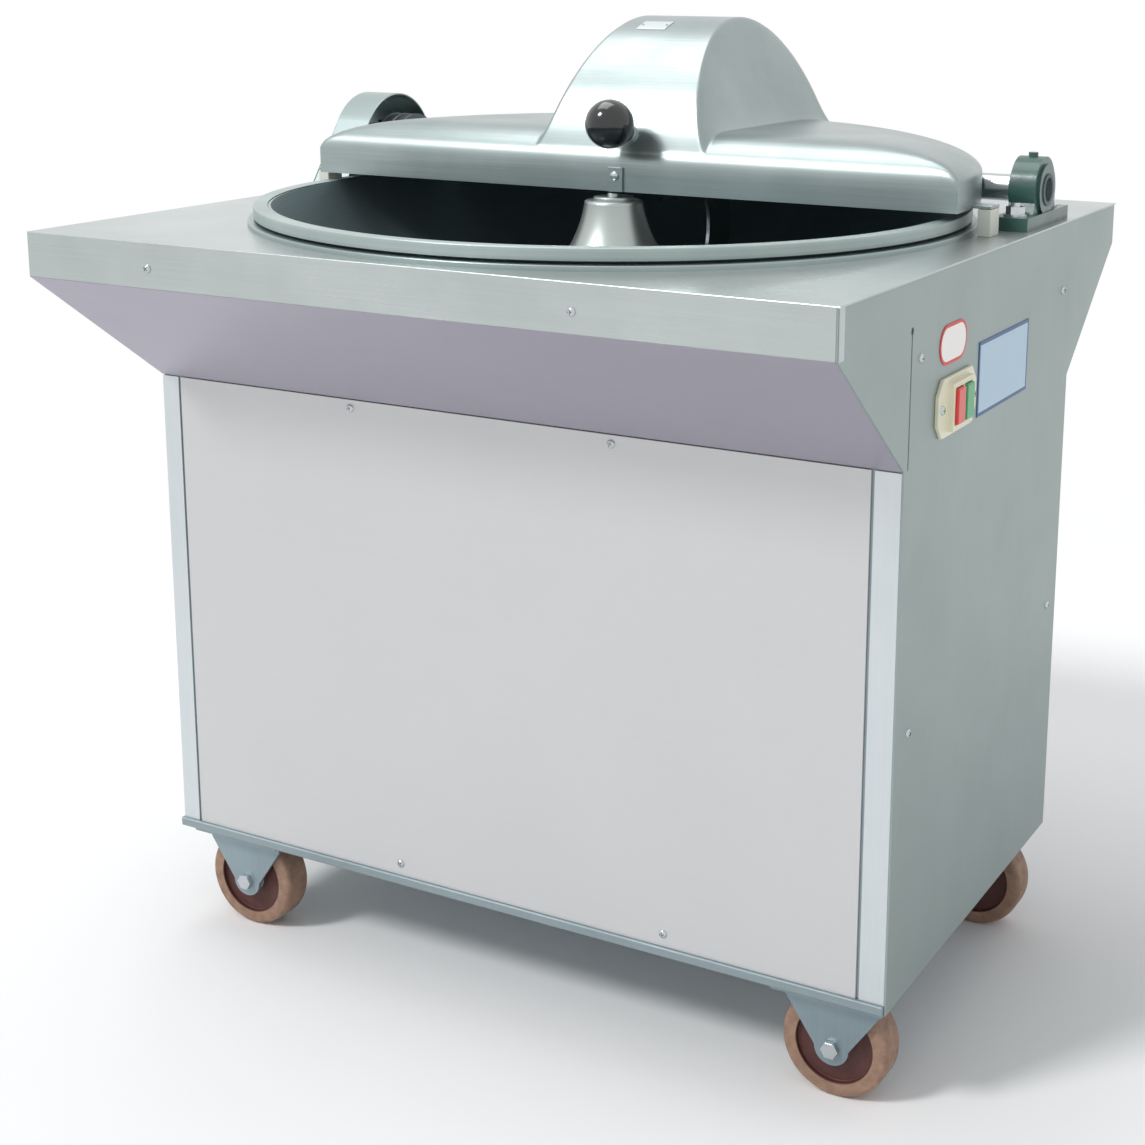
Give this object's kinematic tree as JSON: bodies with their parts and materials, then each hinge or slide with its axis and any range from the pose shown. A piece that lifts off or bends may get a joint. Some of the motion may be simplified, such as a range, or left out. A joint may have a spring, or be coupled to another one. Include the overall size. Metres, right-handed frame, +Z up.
{
  "type": "bowl cutter",
  "caption": "Floor-standing bowl cutter: a turning annular bowl and cross-shaft knives under a hinged domed cover, on a sheet-metal cabinet with casters.",
  "frame": {"origin": "on the floor, at the middle of the machine's plan with the cover closed", "axes": "+Z up, +X along the knife shaft toward the switch side, the operator stands at -Y"},
  "size_m": [0.9014, 0.811, 1.029],
  "materials": {
    "frame_steel": "zinc-rich paint, satin",
    "stainless": "brushed stainless sheet",
    "cover_metal": "brushed cast aluminium",
    "bowl_metal": "dark cast and turned",
    "hub_metal": "turned, satin",
    "fasteners": "zinc plated",
    "bearing_paint": "dark green paint",
    "shaft_steel": "turned bright",
    "pulley_iron": "machined grey iron",
    "belt_rubber": "matte",
    "motor_paint": "hammered grey-blue paint",
    "gearbox_paint": "blue paint",
    "black_plastic": "glossy black",
    "fan_plastic": "matte black",
    "rest_nylon": "cream nylon",
    "switch_cream": "cream, semi-matte",
    "button_green": "glossy",
    "button_red": "glossy",
    "plate_blue": "bare pale-blue sheet",
    "caster_zinc": "zinc, blue-grey",
    "wheel_resin": "brown cast resin"
  },
  "bodies": {
    "cabinet": {"base_frame": "frame_steel", "bottom_panel": "stainless", "inner_frame": "frame_steel", "table_top": "stainless", "front_skirt": "stainless", "rear_skirt": "stainless", "left_skirt": "stainless", "front_panel": "stainless", "edge_strips": "stainless", "rear_panel": "stainless", "right_side_panel": "stainless", "left_side_panel": "stainless", "panel_screws": "fasteners", "bowl_ring": "stainless", "belt_guard": "stainless", "bearing_housings": "bearing_paint", "bearing_bolts": "fasteners", "rest_blocks": "rest_nylon", "hinge_brackets": "cover_metal", "hinge_pins": "fasteners", "round_plate": "stainless", "rating_plate": "plate_blue", "switch_housing": "switch_cream", "drive_belts": "belt_rubber", "motor_rails": "frame_steel", "motor_frame": "motor_paint", "fan_cowl": "motor_paint", "terminal_box": "motor_paint", "gearbox_housing": "gearbox_paint", "support_beams": "frame_steel", "caster_forks": "caster_zinc", "axle_bolts": "fasteners", "cable_gland": "fan_plastic"},
    "cover": {"knife_cover": "cover_metal", "hinge_arms": "cover_metal", "cover_catch": "cover_metal", "cover_screws": "fasteners", "knob_stem": "fasteners", "ball_knob": "black_plastic", "dome_plate": "cover_metal"},
    "knife_set": {"knife_shaft": "shaft_steel", "knives": "shaft_steel", "knife_clamps": "shaft_steel", "knife_pulley": "pulley_iron", "bearing_rings": "shaft_steel"},
    "bowl_set": {"bowl": "bowl_metal", "hub_cone": "hub_metal", "hub_cap": "hub_metal", "bowl_spindle": "shaft_steel"},
    "motor_rotor": {"motor_shaft": "shaft_steel", "motor_pulley": "pulley_iron", "motor_fan": "fan_plastic"},
    "worm_set": {"worm_shaft": "shaft_steel", "gear_pulley": "pulley_iron"},
    "start_button": {"start_button": "button_green"},
    "stop_button": {"stop_button": "button_red"},
    "wheel_front_right": {"wheel_front_right": "wheel_resin"},
    "wheel_front_left": {"wheel_front_left": "wheel_resin"},
    "wheel_rear_right": {"wheel_rear_right": "wheel_resin"},
    "wheel_rear_left": {"wheel_rear_left": "wheel_resin"}
  },
  "joints": [
    {"name": "cover_lift", "type": "hinge", "parent": "cabinet", "child": "cover", "pos_m": [0.00225, 0.378, 0.872], "axis": [-1, 0, 0], "range_deg": [0, 95]},
    {"name": "motor_spin", "type": "hinge", "parent": "cabinet", "child": "motor_rotor", "pos_m": [0, 0.06, 0.266], "axis": [1, 0, 0], "continuous": true},
    {"name": "knife_spin", "type": "hinge", "parent": "cabinet", "child": "knife_set", "pos_m": [0, 0.172, 0.857], "axis": [1, 0, 0], "continuous": true},
    {"name": "worm_spin", "type": "hinge", "parent": "cabinet", "child": "worm_set", "pos_m": [0, 0.077, 0.59], "axis": [1, 0, 0], "continuous": true},
    {"name": "bowl_spin", "type": "hinge", "parent": "cabinet", "child": "bowl_set", "pos_m": [0.00225, 0.002, 0], "axis": [0, 0, 1], "continuous": true},
    {"name": "start_press", "type": "slide", "parent": "cabinet", "child": "start_button", "axis": [-1, 0, 0], "range_m": [0, 0.003], "stiffness_N_per_m": 400},
    {"name": "stop_press", "type": "slide", "parent": "cabinet", "child": "stop_button", "axis": [-1, 0, 0], "range_m": [0, 0.003], "stiffness_N_per_m": 400},
    {"name": "wheel_front_right_spin", "type": "hinge", "parent": "cabinet", "child": "wheel_front_right", "pos_m": [0.37625, -0.203, 0.056], "axis": [0, 1, 0], "continuous": true},
    {"name": "wheel_front_left_spin", "type": "hinge", "parent": "cabinet", "child": "wheel_front_left", "pos_m": [-0.35175, -0.203, 0.056], "axis": [0, 1, 0], "continuous": true},
    {"name": "wheel_rear_right_spin", "type": "hinge", "parent": "cabinet", "child": "wheel_rear_right", "pos_m": [0.37625, 0.203, 0.056], "axis": [0, 1, 0], "continuous": true},
    {"name": "wheel_rear_left_spin", "type": "hinge", "parent": "cabinet", "child": "wheel_rear_left", "pos_m": [-0.35175, 0.203, 0.056], "axis": [0, 1, 0], "continuous": true}
  ],
  "couplings": [
    {"joint": "knife_spin", "follows": "motor_spin", "ratio": 1.25},
    {"joint": "worm_spin", "follows": "motor_spin", "ratio": 0.66667},
    {"joint": "bowl_spin", "follows": "motor_spin", "ratio": 0.016667}
  ]
}
